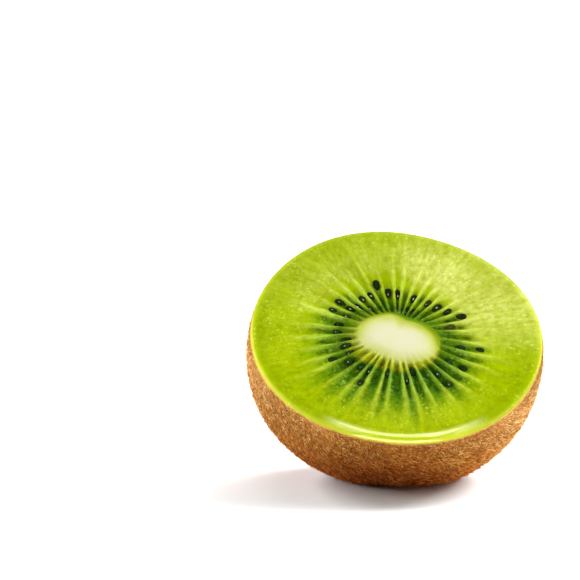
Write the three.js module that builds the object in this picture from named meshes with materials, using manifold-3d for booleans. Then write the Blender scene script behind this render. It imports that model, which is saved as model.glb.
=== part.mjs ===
// Half a green kiwi fruit, cut across just above its widest part and standing on its
// fuzzy brown skin with the cut face tilted forwards. Millimetres, +Z up; the object stands
// on z = 0, its front is -Y, and the origin is the bottom centre of its bounding box.
//
// The fruit's own frame has z out of the cut face and x along the face's long axis; z = 0
// there is the plane of the skin's cut edge. The flesh swells a little above that plane, with
// a rounded wet edge, a ring of seeds sunk between thin ribs, and a pale core that stands up.

import * as THREE from "three";
import {
  mergeVertices,
  toCreasedNormals,
} from "three/addons/utils/BufferGeometryUtils.js";
import Module from "manifold-3d";

// ---- Outline of the cut ----
// long and short are the whole widths, turn is the long axis's angle in degrees, and each lobe
// is an unevenness: how many waves go round, their share of the radius, and the angle of one.
const CUT = {
  long: 49.4,
  short: 44.2,
  turn: 0,
  lobes: [
    { waves: 3, share: 0.005, at: -7 },
    { waves: 4, share: 0.006, at: 25 },
  ],
};

// ---- Skin, from the cut edge down to the blossom end ----
const DEPTH = 26.1; // cut edge's plane to the blossom end
const WIDEST = 4.1; // depth at which the fruit is widest
const PROFILE_POWER = 2.3; // 2 would be an ellipse; more is blunter
const END_RING = { radius: 3.8, height: 1.0, width: 1.4 }; // the low rough ring at the blossom end
const END_STUB = { radius: 1.2, height: 1.6, lean: 12 }; // the dry stub in the ring, lean in degrees

// ---- Cut face ----
const CROWN = 1.4; // how far the flesh stands above the skin's cut edge
const EDGE_ROUND = 1.6; // width of the flesh's rounded edge
const CORE = {
  long: 13.2,
  short: 8.8,
  turn: -11,
  lobes: [
    { waves: 1, share: 0.21, at: -76 },
    { waves: 3, share: 0.05, at: -28 },
    { waves: 4, share: 0.03, at: 7 },
  ],
};
const CORE_RISE = 0.35;
const RIB_COUNT = 36; // thin ribs that part the seed chambers
const RIB_DRIFT = 0.35; // how far a rib strays from its even place, as a share of the spacing
const RIB_END = 0.8; // where ribs fade out, as a share of the outline's radius
const CHAMBER_START = 0.8; // from the core's edge to the seed chambers
const CHAMBER_LENGTH = 4.8;
const CHAMBER_FADE = 2.0; // over which a chamber's floor comes up at its outer end
const CHAMBER_DEPTH = 0.42;
const SPREAD_HIGH = 0.88; // chambers and seed rows are this much shorter on the face's high side
const SPREAD_LOW = 1.2; // and this much longer on its low side
const FLUTE_DEPTH = 0.14; // hollow between ribs outside the seed chambers

// ---- Seeds ----
const SEED_LENGTH = 1.9;
const SEED_WIDTH = 1.1;
const SEED_THICK = 0.95;
// Each row: its distance from the core's edge, the share of the chambers that show a seed in
// it, and how much more or less that is on the full side.
const SEED_ROWS = [
  { out: 2.8, shown: 0.55, fuller: 0.0 },
  { out: 5.7, shown: 0.43, fuller: 0.08 },
];
const SEED_FULL_SIDE = 50; // angle from the long axis at which the seeds are most, in degrees
const SEED_STRAY = 1.8; // range of a chamber's seeds from the core, both rows together
const SEED_JITTER = 1.1; // range of each seed on its own
const SEED_SINK = 0.25; // range of a seed's centre, half of it above its chamber's floor

// ---- How it stands ----
const TILT = 42.5; // the cut face's lean from level, towards the front, in degrees
const HEADING = 4; // turn of that lean towards +X, in degrees
const ROLL = -9.3; // long axis below level on the right, in degrees
const FACE_HEIGHT = 24.7; // centre of the cut edge's plane above the ground

// ---- Mesh fineness ----
const CHAMBER_COLUMNS = [0, 0.25, 0.75]; // a rib's crest and the two sides of the chamber after it
const SKIN_ROWS = 10;
const CREASE = 35; // degrees between faces past which an edge is shaded sharp
const SEED_SIDES = 6;
const SEED_RINGS = 4;

const rad = THREE.MathUtils.degToRad;
const lerp = THREE.MathUtils.lerp;
const smooth = THREE.MathUtils.smoothstep; // of a value, low edge and high edge

// A number from 0 to 1 without visible order, the same on each run.
function scatter(index, stream) {
  const wave = Math.sin(index * 12.9898 + stream * 78.233) * 43758.5453;
  return wave - Math.floor(wave);
}

// Gauss's bell, 1 at 0.
const bell = (x) => Math.exp(-x * x);

// Radius of an uneven oval at an angle from the cut's long axis.
function ovalRadius(oval, angle) {
  const mean = (oval.long + oval.short) / 4;
  const stretch = (oval.long - oval.short) / (oval.long + oval.short);
  let share = 1 + stretch * Math.cos(2 * (angle - rad(oval.turn)));
  for (const lobe of oval.lobes) {
    share += lobe.share * Math.cos(lobe.waves * (angle - rad(lobe.at)));
  }
  return mean * share;
}

// Angle of a rib's crest. The ribs are nearly even.
function ribAngle(rib) {
  const drift = RIB_DRIFT * (scatter(rib % RIB_COUNT, 1) - 0.5);
  return ((rib + drift) * 2 * Math.PI) / RIB_COUNT;
}

// Angle between a rib and the next one.
function chamberAngle(chamber, across) {
  return lerp(ribAngle(chamber), ribAngle(chamber + 1), across);
}

// How far chambers and seed rows spread at an angle, as a share of their mean.
function spread(angle) {
  return lerp(SPREAD_LOW, SPREAD_HIGH, 0.5 + 0.5 * Math.sin(angle + rad(ROLL)));
}

// Height of the cut face above the cut edge's plane. open is 0 on a rib's crest and 1 in a chamber.
function faceHeight(angle, radius, open) {
  const edge = ovalRadius(CUT, angle);
  const core = ovalRadius(CORE, angle);
  const inwards = Math.min((edge - radius) / EDGE_ROUND, 1);
  const crown = CROWN * Math.sqrt(1 - (1 - inwards) ** 2);
  const rise = CORE_RISE * (1 - smooth(radius, core * 0.7, core));
  const start = smooth(radius, core, core + CHAMBER_START);
  const end = core + CHAMBER_LENGTH * spread(angle);
  const chamber = start * (1 - smooth(radius, end, end + CHAMBER_FADE));
  const flute = start * (1 - smooth(radius, edge * 0.6, edge * RIB_END));
  return (
    crown + rise - open * (CHAMBER_DEPTH * chamber + FLUTE_DEPTH * flute)
  );
}

// Radii at which the face's mesh rows run, from the centre out.
function faceRadii(angle) {
  const edge = ovalRadius(CUT, angle);
  const core = ovalRadius(CORE, angle);
  const start = core + CHAMBER_START;
  const end = core + CHAMBER_LENGTH * spread(angle);
  const round = edge - EDGE_ROUND;
  const inCore = [0, 0.4, 0.7, 0.85, 1].map((s) => s * core);
  const inChamber = [0, 0.33, 0.67, 1].map((s) => lerp(start, end, s));
  const fading = [0.5, 1].map((s) => end + s * CHAMBER_FADE);
  const outside = [0.5, 1].map((s) => lerp(end + CHAMBER_FADE, round, s));
  const rounded = [30, 60, 90].map((turn) =>
    lerp(round, edge, Math.sin(rad(turn))),
  );
  return [...inCore, ...inChamber, ...fading, ...outside, ...rounded];
}

// The fruit's girth before it is scaled to the cut edge, at a depth below that edge.
function fullness(depth) {
  const along = Math.abs((depth - WIDEST) / (DEPTH - WIDEST));
  return (1 - along ** PROFILE_POWER) ** (1 / PROFILE_POWER);
}

// The skin's mesh rows, as a share of the cut's radius and a depth. They are even along the
// curve down to the ring at the blossom end, and follow that ring's own form there.
function skinRows() {
  const atCut = fullness(0);
  const power = 2 / PROFILE_POWER;
  const mean = (CUT.long + CUT.short) / 4;
  const ringShares = [1.6, 1, 0.5, 0, -0.5, -1, -1.6].map(
    (offset) => (END_RING.radius + offset * END_RING.width) / mean,
  );
  const first = Math.asin((WIDEST / (DEPTH - WIDEST)) ** (1 / power));
  const last = Math.acos((ringShares[0] * atCut) ** (1 / power));
  const rows = [];
  for (let row = 1; row < SKIN_ROWS; row++) {
    const turn = lerp(-first, last, row / SKIN_ROWS);
    const along = Math.sign(turn) * Math.abs(Math.sin(turn)) ** power;
    const depth = WIDEST + (DEPTH - WIDEST) * along;
    rows.push({ share: fullness(depth) / atCut, depth });
  }
  for (const share of [...ringShares, 0]) {
    const along =
      (1 - (share * atCut) ** PROFILE_POWER) ** (1 / PROFILE_POWER);
    rows.push({ share, depth: WIDEST + (DEPTH - WIDEST) * along });
  }
  return rows;
}

// The fruit as one closed sheet: a ball whose upper rows lie on the cut face and lower rows on the skin.
function fruitBody() {
  const skin = skinRows();
  const faceRows = faceRadii(0).length;
  const rows = faceRows + skin.length - 1;
  const columns = RIB_COUNT * CHAMBER_COLUMNS.length;
  const ball = new THREE.SphereGeometry(1, columns, rows);
  const { position, uv } = ball.attributes;
  for (let i = 0; i < position.count; i++) {
    const row = Math.round((1 - uv.getY(i)) * rows);
    const column = Math.floor(uv.getX(i) * columns + 0.01) % columns;
    const chamber = Math.floor(column / CHAMBER_COLUMNS.length);
    const across = CHAMBER_COLUMNS[column % CHAMBER_COLUMNS.length];
    const angle = chamberAngle(chamber, across);
    let radius;
    let height;
    if (row < faceRows) {
      radius = faceRadii(angle)[row];
      height = faceHeight(angle, radius, across ? 1 : 0);
    } else {
      const { share, depth } = skin[row - faceRows];
      radius = share * ovalRadius(CUT, angle);
      const fromRing = (radius - END_RING.radius) / END_RING.width;
      height = -depth - END_RING.height * bell(fromRing);
    }
    position.setXYZ(
      i,
      radius * Math.cos(angle),
      radius * Math.sin(angle),
      height,
    );
  }
  return ball;
}

// A seed, blunt outside and pointed towards the core, set in its chamber's floor. Some chambers
// show none in a row.
function seed(chamber, row) {
  const pick = chamber + RIB_COUNT * row;
  const angle = chamberAngle(chamber, 0.38 + 0.24 * scatter(pick, 39));
  const { out, shown, fuller } = SEED_ROWS[row];
  const side = Math.cos(angle - rad(SEED_FULL_SIDE));
  if (scatter(pick, 29) >= shown + fuller * side) return null;
  const stray = SEED_STRAY * (scatter(chamber, 24) - 0.5);
  const jitter = SEED_JITTER * (scatter(pick, 13) - 0.5);
  const fromCore = (out + stray + jitter) * spread(angle);
  const radius = ovalRadius(CORE, angle) + fromCore;
  const size = 0.85 + 0.3 * scatter(pick, 4);
  const geometry = new THREE.SphereGeometry(1, SEED_SIDES, SEED_RINGS);
  geometry.rotateZ(-Math.PI / 2); // its poles point outwards and to the core
  const { position } = geometry.attributes;
  for (let i = 0; i < position.count; i++) {
    const taper = 1 + 0.25 * position.getX(i);
    position.setY(i, position.getY(i) * taper);
    position.setZ(i, position.getZ(i) * taper);
  }
  geometry.scale(
    (size * SEED_LENGTH) / 2,
    (size * SEED_WIDTH) / 2,
    (size * SEED_THICK) / 2,
  );
  geometry.rotateY(rad(20 * (scatter(pick, 5) - 0.5)));
  geometry.rotateZ(angle + rad(24 * (scatter(pick, 6) - 0.5)));
  const sink = SEED_SINK * (scatter(pick, 7) - 0.5);
  geometry.translate(
    radius * Math.cos(angle),
    radius * Math.sin(angle),
    faceHeight(angle, radius, 1) - sink,
  );
  return geometry;
}

// The dry stub left by the flower, in the ring at the blossom end.
function blossomStub() {
  const { radius, height, lean } = END_STUB;
  const foot = 0.6; // radius at its foot, as a share of the top's
  const geometry = new THREE.CylinderGeometry(
    radius,
    radius * foot,
    height,
    9,
  );
  geometry.rotateX(Math.PI / 2);
  geometry.rotateY(rad(lean));
  geometry.translate(0, 0, -DEPTH);
  return geometry;
}

// ---- Booleans ----
const wasm = await Module();
wasm.setup();

// A closed three.js geometry as a manifold-3d solid.
function toSolid(geometry) {
  const bare = geometry.clone();
  bare.deleteAttribute("normal");
  bare.deleteAttribute("uv");
  const merged = mergeVertices(bare, 1e-4);
  const corners = merged.index.array;
  const triVerts = [];
  for (let i = 0; i < corners.length; i += 3) {
    const [a, b, c] = corners.slice(i, i + 3);
    if (a !== b && b !== c && a !== c) triVerts.push(a, b, c);
  }
  return new wasm.Manifold(
    new wasm.Mesh({
      numProp: 3,
      vertProperties: merged.attributes.position.array,
      triVerts: new Uint32Array(triVerts),
    }),
  );
}

// A manifold-3d solid as a three.js geometry.
function toGeometry(solid) {
  const mesh = solid.getMesh();
  const geometry = new THREE.BufferGeometry();
  geometry.setAttribute(
    "position",
    new THREE.BufferAttribute(new Float32Array(mesh.vertProperties), 3),
  );
  geometry.setIndex(new THREE.BufferAttribute(mesh.triVerts, 1));
  return toCreasedNormals(geometry, rad(CREASE));
}

// Turns the fruit's own frame into the standing one.
function standing(geometry) {
  const turn = new THREE.Euler(rad(TILT), 0, rad(HEADING), "ZYX");
  geometry.rotateZ(rad(ROLL));
  geometry.applyMatrix4(new THREE.Matrix4().makeRotationFromEuler(turn));
  geometry.translate(0, 0, FACE_HEIGHT);
  return geometry;
}

let half = toSolid(standing(fruitBody()));
half = half.add(toSolid(standing(blossomStub())));
for (let chamber = 0; chamber < RIB_COUNT; chamber++) {
  for (let row = 0; row < SEED_ROWS.length; row++) {
    const geometry = seed(chamber, row);
    if (geometry) half = half.add(toSolid(standing(geometry)));
  }
}

// The small flat spot that it stands on: what is above the ground is kept.
const above = new THREE.BoxGeometry(100, 100, 100);
above.translate(0, 0, 50);
half = half.intersect(toSolid(above));

const shape = toGeometry(half);
shape.computeBoundingBox();
const middle = shape.boundingBox.getCenter(new THREE.Vector3());
shape.translate(-middle.x, -middle.y, 0);

const flesh = new THREE.MeshStandardMaterial({
  color: 0x9cbf12,
  roughness: 0.35,
  metalness: 0,
});
const kiwi = new THREE.Mesh(shape, flesh);
kiwi.name = "kiwi_half";

const part = new THREE.Group();
part.add(kiwi);

export default part;
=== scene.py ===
"""Half a green kiwi fruit, standing on its fuzzy skin with the cut face towards the viewer.

Sizes are millimetres in the fruit's own frame: z out of the cut face, x along the face's long
axis, and z = 0 the plane of the skin's cut edge. stand() turns them into the standing frame.
Named angles are degrees. A function's angle is radians round the face, from x.
"""

import math

import bmesh
import bpy
import numpy as np
from mathutils import Matrix, Vector


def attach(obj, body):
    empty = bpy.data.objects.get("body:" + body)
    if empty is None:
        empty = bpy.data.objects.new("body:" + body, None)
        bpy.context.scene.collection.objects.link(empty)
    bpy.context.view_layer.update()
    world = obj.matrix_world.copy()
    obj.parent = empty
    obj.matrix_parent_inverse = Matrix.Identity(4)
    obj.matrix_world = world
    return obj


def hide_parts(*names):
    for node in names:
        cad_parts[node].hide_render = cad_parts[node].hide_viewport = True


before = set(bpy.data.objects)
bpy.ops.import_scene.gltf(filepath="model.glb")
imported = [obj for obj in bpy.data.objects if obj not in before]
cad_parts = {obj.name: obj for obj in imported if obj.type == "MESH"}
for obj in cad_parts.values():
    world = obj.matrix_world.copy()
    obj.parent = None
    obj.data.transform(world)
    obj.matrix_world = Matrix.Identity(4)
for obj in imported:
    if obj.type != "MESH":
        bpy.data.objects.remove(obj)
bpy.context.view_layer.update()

# ---- How it stands ----
FACE_CENTRE = (0.116, -4.702, 24.7)
TILT = 42.5
HEADING = 4.0
ROLL = -9.3

# ---- The cut face ----
# long and short are the whole widths, turn is the long axis's angle, and each lobe is an
# unevenness: how many waves go round, their share of the radius, and the angle of one.
CUT = {"long": 49.4, "short": 44.2, "turn": 0.0, "lobes": [(3, 0.005, -7.0), (4, 0.006, 25.0)]}
CORE = {
    "long": 13.2,
    "short": 8.8,
    "turn": -11.0,
    "lobes": [(1, 0.21, -76.0), (3, 0.05, -28.0), (4, 0.03, 7.0)],
}
CROWN = 1.4
EDGE_ROUND = 1.6
CORE_RISE = 0.35
CORE_TOP = 0.7
RIB_COUNT = 36
RIB_DRIFT = 0.35
RIB_END = 0.8
CHAMBER_START = 0.8
CHAMBER_LENGTH = 4.8
CHAMBER_FADE = 2.0
CHAMBER_DEPTH = 0.42
SPREAD_HIGH = 0.88
SPREAD_LOW = 1.2
FLUTE_DEPTH = 0.14
FLUTE_FADES = 0.6

# Half the width of a rib's crest at the centre, how much wider it is each millimetre further
# out, and the width of the slope beside it.
CREST = 0.05
CREST_WIDENS = 0.006
CREST_SLOPE = 0.34

# How ribs wander as they go out, in radians: size, waves round the face and phase. There is
# none of it at WANDER_STILL from the centre.
RIB_WANDER = ((0.03, 5, 1.0), (0.025, 11, 0.0))
WANDER_STILL = 8.0
WANDER_REACH = 16.0

# ---- Seeds ----
SEED_SIZE = (1.9, 1.1, 0.95)
SEED_ROWS = (
    {"out": 2.8, "shown": 0.55, "fuller": 0.0},
    {"out": 5.7, "shown": 0.43, "fuller": 0.08},
)
SEED_FULL_SIDE = 50.0
SEED_ACROSS = 0.38
SEED_ACROSS_RANGE = 0.24
SEED_STRAY = 1.8
SEED_JITTER = 1.1
SEED_SINK = 0.25
SEED_SMALLEST = 0.85
SEED_SIZE_RANGE = 0.3
SEED_TAPER = 0.25
SEED_PITCH = 20
SEED_YAW = 24

# ---- Skin ----
DEPTH = 26.1
WIDEST = 4.1
PROFILE_POWER = 2.3
MEAN_RADIUS = 24.1
SKIN_THICKNESS = 0.4
END_RING = {"radius": 3.8, "height": 1.0, "width": 1.4}

MM = 0.001


def turned(axis, degrees):
    return Matrix.Rotation(math.radians(degrees), 4, axis)


STANDING = (
    Matrix.Translation(Vector(FACE_CENTRE) * MM)
    @ turned("Z", HEADING)
    @ turned("X", TILT)
    @ turned("Z", ROLL)
    @ Matrix.Scale(MM, 4)
)


def stand(points):
    """Points of the fruit's own frame, in the standing frame, with none below the floor."""
    matrix = np.array(STANDING)
    out = points @ matrix[:3, :3].T + matrix[:3, 3]
    out[:, 2] = np.maximum(out[:, 2], 0.0)
    return out


def smooth(x, low, high):
    t = np.clip((x - low) / (high - low), 0.0, 1.0)
    return t * t * (3.0 - 2.0 * t)


def between(x, low, high, at_low, at_high):
    """The even way from at_low to at_high while x goes from low to high."""
    return at_low + (at_high - at_low) * (x - low) / (high - low)


def scatter(index, stream):
    """A number from 0 to 1 without visible order."""
    wave = np.sin(index * 12.9898 + stream * 78.233) * 43758.5453
    return wave - np.floor(wave)


def oval_radius(oval, angle):
    mean = (oval["long"] + oval["short"]) / 4
    stretch = (oval["long"] - oval["short"]) / (oval["long"] + oval["short"])
    share = 1 + stretch * np.cos(2 * (angle - math.radians(oval["turn"])))
    for waves, size, at in oval["lobes"]:
        share = share + size * np.cos(waves * (angle - math.radians(at)))
    return mean * share


def rib_angle(rib):
    drift = RIB_DRIFT * (scatter(rib % RIB_COUNT, 1) - 0.5)
    return (rib + drift) * 2 * math.pi / RIB_COUNT


def ribs_at(angle, radius):
    """Number of the chamber at each place, how far across it, and the distance to a rib in mm."""
    bend = sum(size * np.sin(angle * waves + phase) for size, waves, phase in RIB_WANDER)
    angle = (angle + bend * (radius - WANDER_STILL) / WANDER_REACH) % (2 * math.pi)
    crests = np.array([rib_angle(k) for k in range(-1, RIB_COUNT + 2)])
    after = np.searchsorted(crests, angle, side="right")
    low = crests[after - 1]
    high = crests[after]
    across = (angle - low) / (high - low)
    near = np.minimum(across, 1 - across) * (high - low) * radius
    return (after - 2) % RIB_COUNT, across, near


def lowness(angle):
    """0 on the tilted face's high side and 1 on its low side."""
    return 0.5 - 0.5 * np.sin(angle + math.radians(ROLL))


def spread(angle):
    """How far chambers and seed rows spread at an angle, as a share of their mean."""
    return SPREAD_HIGH + (SPREAD_LOW - SPREAD_HIGH) * lowness(angle)


def face_height(angle, radius, opened):
    """Height above the cut edge's plane. opened is 0 on a rib's crest and 1 in a chamber."""
    edge = oval_radius(CUT, angle)
    core = oval_radius(CORE, angle)
    inwards = np.clip((edge - radius) / EDGE_ROUND, 0.0, 1.0)
    crown = CROWN * np.sqrt(1 - (1 - inwards) ** 2)
    rise = CORE_RISE * (1 - smooth(radius, core * CORE_TOP, core))
    start = smooth(radius, core, core + CHAMBER_START)
    end = core + CHAMBER_LENGTH * spread(angle)
    chamber = start * (1 - smooth(radius, end, end + CHAMBER_FADE))
    flute = start * (1 - smooth(radius, edge * FLUTE_FADES, edge * RIB_END))
    return crown + rise - opened * (CHAMBER_DEPTH * chamber + FLUTE_DEPTH * flute)


def fullness(depth):
    along = np.abs((depth - WIDEST) / (DEPTH - WIDEST))
    return np.maximum(1 - along**PROFILE_POWER, 0.0) ** (1 / PROFILE_POWER)


def skin_point(angle, turn, inset=0.0):
    """The skin's surface: turn runs from 0 at the cut edge to 1 at the blossom end."""
    power = 2 / PROFILE_POWER
    first = math.asin((WIDEST / (DEPTH - WIDEST)) ** (1 / power))
    bend = -first + (math.pi / 2 + first) * turn
    along = np.sign(bend) * np.abs(np.sin(bend)) ** power
    depth = WIDEST + (DEPTH - WIDEST) * along
    share = fullness(depth) / fullness(0.0)
    share = np.where(turn >= 1.0, 0.0, share)
    radius = share * oval_radius(CUT, angle)
    ring = np.exp(-(((radius - END_RING["radius"]) / END_RING["width"]) ** 2))
    height = -depth - END_RING["height"] * ring
    shrink = 1 - inset / MEAN_RADIUS
    lift = inset * np.clip(turn * 2, 0.0, 1.0)
    return np.stack(
        [radius * shrink * np.cos(angle), radius * shrink * np.sin(angle), height + lift],
        axis=-1,
    )


# ---- Making meshes ----


def points_of(mesh):
    co = np.zeros(len(mesh.vertices) * 3)
    mesh.vertices.foreach_get("co", co)
    return co.reshape(-1, 3)


def ball(columns, rows):
    """A closed ball as a mesh, with the angle and the row of each vertex."""
    bm = bmesh.new()
    bmesh.ops.create_uvsphere(bm, u_segments=columns, v_segments=rows, radius=1.0)
    mesh = bpy.data.meshes.new("ball")
    bm.to_mesh(mesh)
    bm.free()
    x, y, z = points_of(mesh).T
    row = np.rint(np.arccos(np.clip(z, -1, 1)) / math.pi * rows).astype(int)
    column = np.rint(np.arctan2(y, x) / (2 * math.pi) * columns)
    return mesh, (column % columns) * 2 * math.pi / columns, row


def put(mesh, points):
    mesh.vertices.foreach_set("co", np.ascontiguousarray(points, dtype=np.float32).ravel())
    mesh.shade_smooth()
    mesh.update()


def note(mesh, name, values):
    """Stores a number for each vertex, for the material to read."""
    layer = mesh.attributes.new(name, "FLOAT", "POINT")
    layer.data.foreach_set("value", np.ascontiguousarray(values, dtype=np.float32))


def note_vector(mesh, name, values):
    layer = mesh.attributes.new(name, "FLOAT_VECTOR", "POINT")
    layer.data.foreach_set("vector", np.ascontiguousarray(values, dtype=np.float32).ravel())


def add(name, data):
    """A new object in the scene."""
    obj = bpy.data.objects.new(name, data)
    bpy.context.scene.collection.objects.link(obj)
    return obj


def piece(name, mesh, material):
    mesh.name = name
    obj = add(name, mesh)
    mesh.materials.clear()
    mesh.materials.append(material)
    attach(obj, "root")
    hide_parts("kiwi_half")
    return obj


# ---- Making materials ----


class Nodes:
    """A tree's nodes, made and joined by short calls."""

    def __init__(self, tree):
        self.tree = tree

    def join(self, socket, value):
        if isinstance(value, bpy.types.NodeSocket):
            self.tree.links.new(value, socket)
        else:
            socket.default_value = value

    def fill(self, node, inputs):
        for name, value in inputs.items():
            self.join(node.inputs[name.replace("_", " ")], value)

    def node(self, kind, **inputs):
        made = self.tree.nodes.new(kind)
        self.fill(made, inputs)
        return made

    def place(self):
        return self.node("ShaderNodeTexCoord").outputs["Object"]

    def math(self, operation, *values, clamp=False):
        made = self.node("ShaderNodeMath")
        made.operation = operation
        made.use_clamp = clamp
        for socket, value in zip(made.inputs, values):
            self.join(socket, value)
        return made.outputs[0]

    def times(self, *factors):
        product = factors[0]
        for factor in factors[1:]:
            product = self.math("MULTIPLY", product, factor)
        return product

    def span(self, value, low, high, to_low=0.0, to_high=1.0, kind="SMOOTHSTEP"):
        made = self.node("ShaderNodeMapRange")
        made.interpolation_type = kind
        for socket, number in zip(made.inputs[:5], (value, low, high, to_low, to_high)):
            self.join(socket, number)
        return made.outputs[0]

    def mix(self, factor, a, b, blend="MIX"):
        made = self.node("ShaderNodeMix")
        made.data_type = "RGBA"
        made.blend_type = blend
        self.join(made.inputs[0], factor)
        self.join(made.inputs[6], a)
        self.join(made.inputs[7], b)
        return made.outputs[2]

    def ramp(self, value, stops):
        made = self.node("ShaderNodeValToRGB", Fac=value)
        points = made.color_ramp.elements
        while len(points) < len(stops):
            points.new(0.5)
        for point, (at, colour) in zip(points, stops):
            point.position = at
            point.color = colour
        return made.outputs["Color"]

    def noise(self, vector, scale, detail=3.0, rough=0.55, distortion=0.0):
        made = self.node(
            "ShaderNodeTexNoise",
            Vector=vector,
            Scale=scale,
            Detail=detail,
            Roughness=rough,
            Distortion=distortion,
        )
        return made.outputs["Fac"]

    def dots(self, vector, scale):
        """The distance to the nearest of many scattered points."""
        return self.node("ShaderNodeTexVoronoi", Vector=vector, Scale=scale).outputs["Distance"]


class Shader(Nodes):
    """A material."""

    def __init__(self, name):
        self.material = bpy.data.materials.new(name)
        self.material.use_nodes = True
        super().__init__(self.material.node_tree)
        self.tree.nodes.clear()
        self.main = self.node("ShaderNodeBsdfPrincipled")
        self.node("ShaderNodeOutputMaterial", Surface=self.main.outputs["BSDF"])

    def set(self, **inputs):
        self.fill(self.main, inputs)

    def stored(self, name, output="Fac"):
        made = self.node("ShaderNodeAttribute")
        made.attribute_name = name
        return made.outputs[output]

    def bump(self, height, distance, strength=1.0):
        made = self.node("ShaderNodeBump", Height=height, Distance=distance, Strength=strength)
        return made.outputs["Normal"]

    def effect(self, group, **inputs):
        """An effect in this material, with the material's own values."""
        made = self.node("ShaderNodeGroup")
        made.node_tree = group
        self.fill(made, inputs)
        return made.outputs[0]


class Effect(Nodes):
    """A group of nodes that more than one material uses, with named inputs and one output."""

    def __init__(self, name, kind, inputs, output):
        super().__init__(bpy.data.node_groups.new(name, "ShaderNodeTree"))
        for given in inputs:
            self.tree.interface.new_socket(given, in_out="INPUT", socket_type=kind)
        self.tree.interface.new_socket(output, in_out="OUTPUT", socket_type=kind)
        self.given = self.node("NodeGroupInput").outputs
        self.result = self.node("NodeGroupOutput").inputs[0]


def tint(red, green, blue):
    """A colour from 0 to 255 a channel, as linear light."""
    channels = [c / 255 for c in (red, green, blue)]
    linear = [c / 12.92 if c <= 0.04045 else ((c + 0.055) / 1.055) ** 2.4 for c in channels]
    return (*linear, 1.0)


# ---- Flesh ----

FLESH_COLUMNS = RIB_COUNT * 20
FACE_ROWS = 108
INNER_ROWS = 14
FLESH_GAP = 0.05
LINING_GAP = 0.15

# This share of the face's rows runs out to its rounded edge, and the others go over it.
FLAT_ROWS = 0.9
MEAN_EDGE = 23.3
ROUND_PART = EDGE_ROUND / MEAN_EDGE

# Pale parts of the outer flesh, partly paler flesh and partly a painted sheen: the angle of the
# middle, how far it goes to either side, how pale it is there, and the radii where it starts and
# is full.
PALE_SHEEN_PATCHES = (
    {"at": 42.0, "wide": 60.0, "share": 0.85, "start": 9.8, "full": 13.2},
    {"at": 115.0, "wide": 75.0, "share": 0.45, "start": 11.6, "full": 14.6},
    {"at": 175.0, "wide": 45.0, "share": 0.16, "start": 14.5, "full": 18.0},
    {"at": 282.0, "wide": 50.0, "share": 0.16, "start": 13.0, "full": 17.0},
)

# Their start varies by PALE_UNEVEN from chamber to chamber, and is PALE_ROUNDED sooner at a rib.
# Near the edge they fade again, not at all up to the angle FALL_FROM and fully from FALL_TO on.
PALE_UNEVEN = 2.6
PALE_ROUNDED = 2.0
PALE_FALL = {"share": 0.35, "start": 16.5, "full": 20.5}
FALL_FROM = 25
FALL_TO = 60

# Borders of the dark seed ring in mm outside the core, and how fast its colours fade past it:
# the mean, how much it swings round the core, and the angle where it is most.
RING = {
    "core_ends": (-0.22, 0.8, 255.0),
    "dark_starts": (1.02, 1.5, 228.0),
    "dark_ends": (3.65, 3.65, 264.0),
    "fading": (1.05, -0.35, 245.0),
}
LEAST_DARK_END = 2.0

# How far the flesh's colours have come at those borders.
REACH_CORE_ENDS = -0.75
REACH_DARK_STARTS = 0.75
REACH_DARK_ENDS = 5.2

# The cream core's corners and flat sides.
CORE_CORNERS = (
    {"at": 16.0, "wide": 24.0, "out": -1.1},
    {"at": 112.0, "wide": 12.0, "out": 0.3},
    {"at": 209.0, "wide": 16.0, "out": 0.7},
    {"at": 275.0, "wide": 20.0, "out": 0.35},
    {"at": 330.0, "wide": 14.0, "out": 0.8},
)

# Chambers carry the dark ring's colours further out than the ribs do, each by its own length.
LAG_HIGH = (0.2, 2.0)
LAG_LOW = (0.4, 3.4)
RIB_LEAD = 0.9

# How far the core's pale teeth along the low side's ribs hold the colours back.
TOOTH = 0.5

# Half a rib's pale line, in mm: at the core, how much that varies, and how much wider it gets
# further out and under the pale painted sheen.
RIB_THIN = 0.06
RIB_VARIES = 0.05
RIB_WIDER = 0.16
RIB_IN_SHEEN = 0.24

# How far the painted shadow round a seed goes along it and beside it, and the same for the dark
# of a seed under gel.
SEED_SHADOW = {"long": 1.6, "wide": 0.85}
SUNK_SEED = {"long": 1.1, "wide": 0.5}

# Streaks run outwards: they change fast round the face and slowly along it.
STREAK_ROUND = 15
STREAK_OUT = 0.25

# The flesh's colours as they come outwards, over the reach from first to last.
FIRST_REACH = -5.0
LAST_REACH = 15.0
FLESH_COLOURS = [
    (0.000, tint(219, 218, 182)),
    (0.050, tint(218, 217, 177)),
    (0.100, tint(215, 215, 165)),
    (0.140, tint(208, 210, 140)),
    (0.175, tint(196, 202, 110)),
    (0.200, tint(182, 192, 80)),
    (0.225, tint(160, 176, 52)),
    (0.250, tint(134, 155, 30)),
    (0.275, tint(118, 144, 16)),
    (0.300, tint(106, 138, 12)),
    (0.350, tint(97, 133, 10)),
    (0.400, tint(96, 134, 10)),
    (0.450, tint(103, 141, 8)),
    (0.500, tint(116, 151, 5)),
    (0.550, tint(129, 160, 2)),
    (0.650, tint(147, 172, 2)),
    (0.750, tint(157, 178, 0)),
    (1.000, tint(144, 166, 0)),
]
OLIVE = tint(184, 184, 22)
GEL = tint(44, 98, 9)
GEL_SMEAR = tint(110, 166, 46)
GEL_PIT = tint(26, 60, 8)
DEEP_GREEN = tint(38, 92, 8)
# A painted shadow round the seeds:
SEED_SHADOW_COLOUR = tint(34, 72, 6)
UNDER_GEL = tint(18, 50, 6)
# Painted glints on the wet gel:
PAINTED_GLINT = tint(176, 204, 96)
# The pale outer flesh's colours, partly a painted sheen.
PALE_SHEEN_COLOURS = [(0.0, tint(188, 199, 24)), (0.9, tint(203, 211, 96))]
SPOT = tint(190, 206, 44)
PALE_SPOT = tint(224, 230, 144)
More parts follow.
